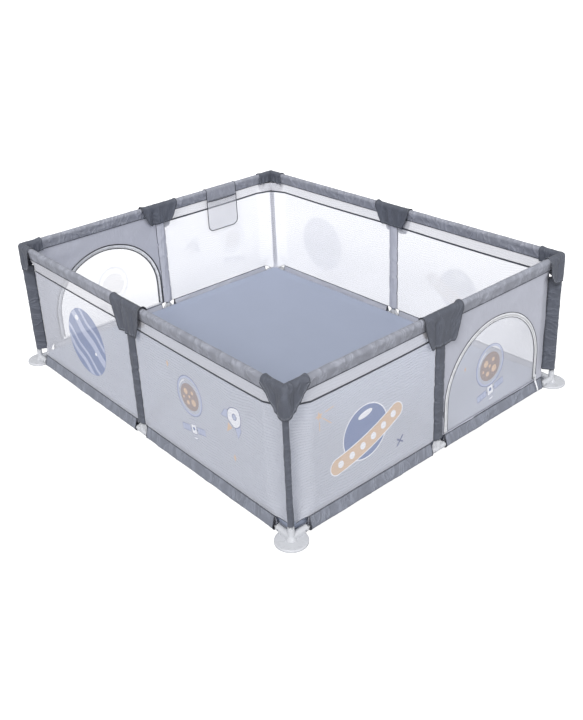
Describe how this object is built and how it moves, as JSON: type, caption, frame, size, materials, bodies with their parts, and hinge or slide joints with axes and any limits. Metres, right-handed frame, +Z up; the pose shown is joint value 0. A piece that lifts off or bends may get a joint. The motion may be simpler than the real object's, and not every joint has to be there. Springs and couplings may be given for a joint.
{
  "type": "playpen",
  "caption": "Large rectangular fabric playpen on a plugged tube frame with round feet, see-through mesh walls, arched zip doors, a padded floor mat and a hanging pocket.",
  "frame": {"origin": "on the floor under the middle of the pen", "axes": "+X along the front wall, +Y from the front wall to the back wall, +Z up"},
  "size_m": [1.765, 2.115, 0.6624],
  "materials": {
    "steel_tube": "zinc-plated steel tube",
    "grey_plastic": "moulded nylon connector",
    "white_plastic": "glossy moulded plastic",
    "foot_rubber": "soft non-slip pad",
    "screw_steel": "plated pan-head screw",
    "slate_canvas": "dark slate woven polyester",
    "grey_canvas": "mid-grey woven polyester",
    "wall_mesh": "fine see-through polyester net with printed motifs",
    "door_canvas": "light grey woven polyester",
    "door_mesh": "fine see-through net with a printed motif",
    "zip_tape": "white woven zip tape and coil",
    "zip_metal": "white enamelled zip slider and tab",
    "mat_cloth": "smooth padded slate cloth",
    "pocket_mesh": "net bound in grey cloth tape"
  },
  "bodies": {
    "root": {"bottom_hem_back": "grey_canvas", "bottom_hem_front": "grey_canvas", "bottom_hem_left": "grey_canvas", "bottom_hem_right": "grey_canvas", "bottom_rails_back": "steel_tube", "bottom_rails_front": "steel_tube", "bottom_rails_left": "steel_tube", "bottom_rails_right": "steel_tube", "bottom_tee_back": "white_plastic", "bottom_tee_front": "white_plastic", "bottom_tee_left": "white_plastic", "bottom_tee_right": "white_plastic", "corner_covers": "slate_canvas", "corner_foot_back_left": "white_plastic", "corner_foot_back_right": "white_plastic", "corner_foot_front_left": "white_plastic", "corner_foot_front_right": "white_plastic", "corner_post_back_left": "steel_tube", "corner_post_back_right": "steel_tube", "corner_post_front_left": "steel_tube", "corner_post_front_right": "steel_tube", "door_surround_back": "door_canvas", "door_surround_front": "door_canvas", "fixing_screws": "screw_steel", "floor_mat": "mat_cloth", "foot_pads": "foot_rubber", "mesh_wall_back_right": "wall_mesh", "mesh_wall_front_left": "wall_mesh", "mesh_wall_left_back": "wall_mesh", "mesh_wall_left_front": "wall_mesh", "mesh_wall_right_back": "wall_mesh", "mesh_wall_right_front": "wall_mesh", "mid_covers": "slate_canvas", "mid_posts": "steel_tube", "post_sleeves": "slate_canvas", "storage_pocket": "pocket_mesh", "top_elbow_back_left": "grey_plastic", "top_elbow_back_right": "grey_plastic", "top_elbow_front_left": "grey_plastic", "top_elbow_front_right": "grey_plastic", "top_rails_back": "steel_tube", "top_rails_front": "steel_tube", "top_rails_left": "steel_tube", "top_rails_right": "steel_tube", "top_sleeve_back": "grey_canvas", "top_sleeve_front": "grey_canvas", "top_sleeve_left": "grey_canvas", "top_sleeve_right": "grey_canvas", "top_tee_back": "grey_plastic", "top_tee_front": "grey_plastic", "top_tee_left": "grey_plastic", "top_tee_right": "grey_plastic", "zip_tape_back": "zip_tape", "zip_tape_front": "zip_tape"},
    "door_front": {"door_flap_front": "door_mesh"},
    "slider_front": {"zip_slider_front": "zip_metal"},
    "pull_front": {"zip_pull_front": "zip_metal"},
    "door_back": {"door_flap_back": "door_mesh"},
    "slider_back": {"zip_slider_back": "zip_metal"},
    "pull_back": {"zip_pull_back": "zip_metal"}
  },
  "joints": [
    {"name": "door_front_swing", "type": "hinge", "parent": "root", "child": "door_front", "pos_m": [0.36, -0.9925, 0.0768], "axis": [1, 0, 0], "range_deg": [-90, 98]},
    {"name": "zip_front_slide", "type": "slide", "parent": "root", "child": "slider_front", "axis": [0, 0, 1], "range_m": [0, 0.1]},
    {"name": "pull_front_swing", "type": "hinge", "parent": "slider_front", "child": "pull_front", "pos_m": [0.674, -0.9997, 0.101], "axis": [-1, 0, 0], "range_deg": [0, 160]},
    {"name": "door_back_swing", "type": "hinge", "parent": "root", "child": "door_back", "pos_m": [-0.36, 0.9925, 0.0768], "axis": [-1, 0, 0], "range_deg": [-90, 98]},
    {"name": "zip_back_slide", "type": "slide", "parent": "root", "child": "slider_back", "axis": [0, 0, 1], "range_m": [0, 0.1]},
    {"name": "pull_back_swing", "type": "hinge", "parent": "slider_back", "child": "pull_back", "pos_m": [-0.674, 0.9997, 0.101], "axis": [1, 0, 0], "range_deg": [0, 160]}
  ]
}
